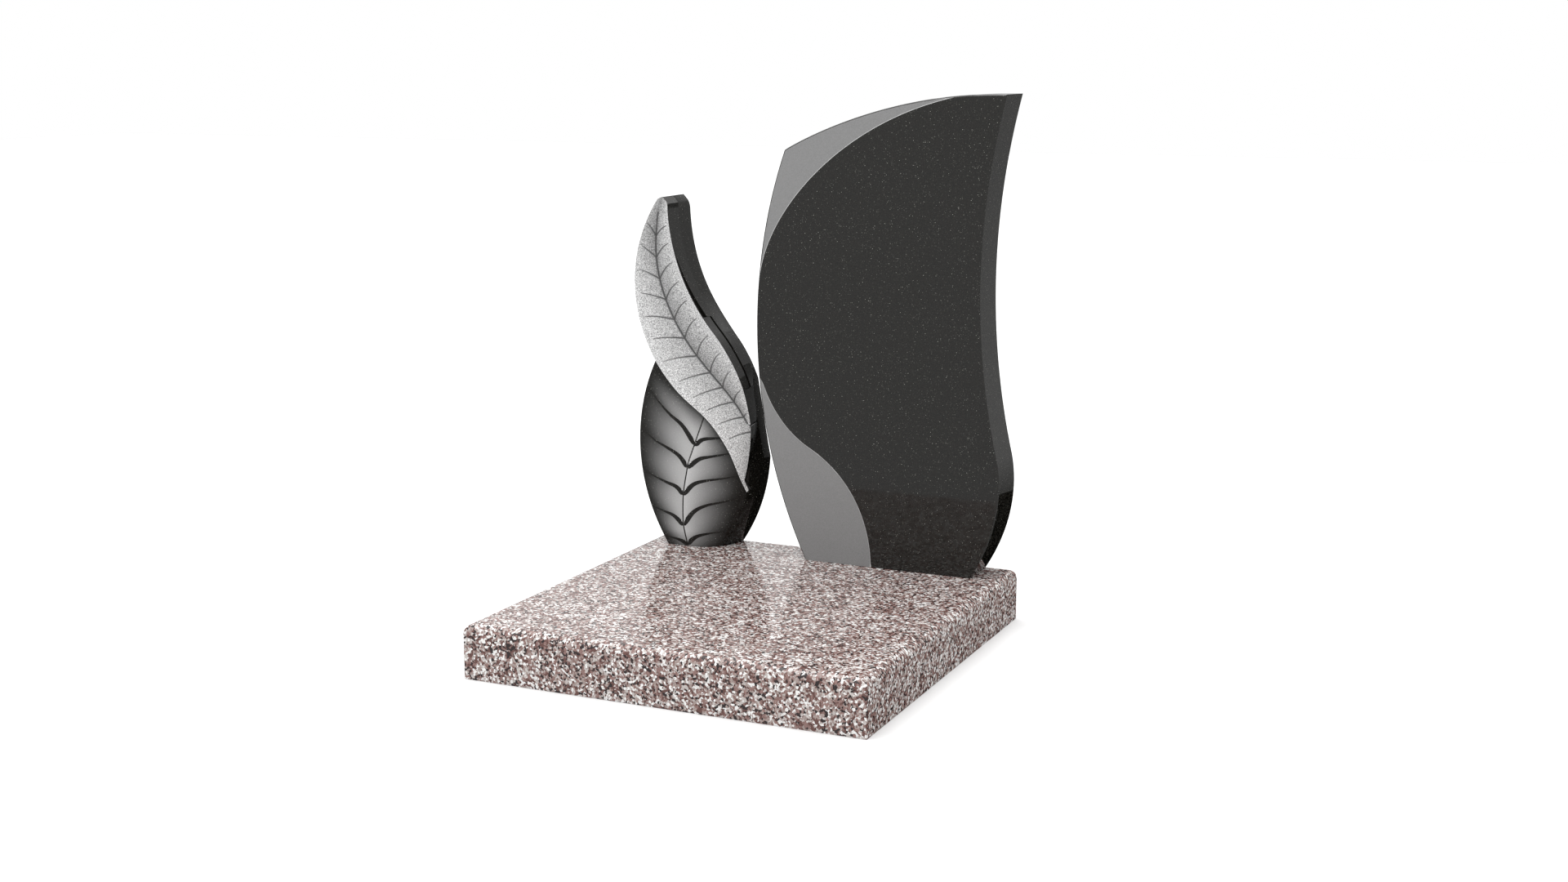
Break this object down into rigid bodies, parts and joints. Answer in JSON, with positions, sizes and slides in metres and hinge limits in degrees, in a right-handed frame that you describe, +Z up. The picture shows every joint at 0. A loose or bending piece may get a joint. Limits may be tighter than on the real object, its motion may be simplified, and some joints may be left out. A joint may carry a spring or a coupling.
{
  "type": "grave monument",
  "caption": "Grave monument: a sail-shaped polished headstone beside a stone carved as a bud under a long leaf, both standing on a low square rounded plinth.",
  "frame": {"origin": "on the ground, under the middle of the plinth's underside", "axes": "+Z up, +X to the right and +Y to the back, seen from the monument's front"},
  "size_m": [0.6077, 0.602, 0.7917],
  "materials": {
    "pink_granite": "polished speckled pink-grey granite",
    "black_granite": "polished black granite, with honed grey and frosted carved areas"
  },
  "bodies": {
    "root": {"plinth": "pink_granite", "headstone": "black_granite", "leaf_stone": "black_granite"}
  },
  "joints": []
}
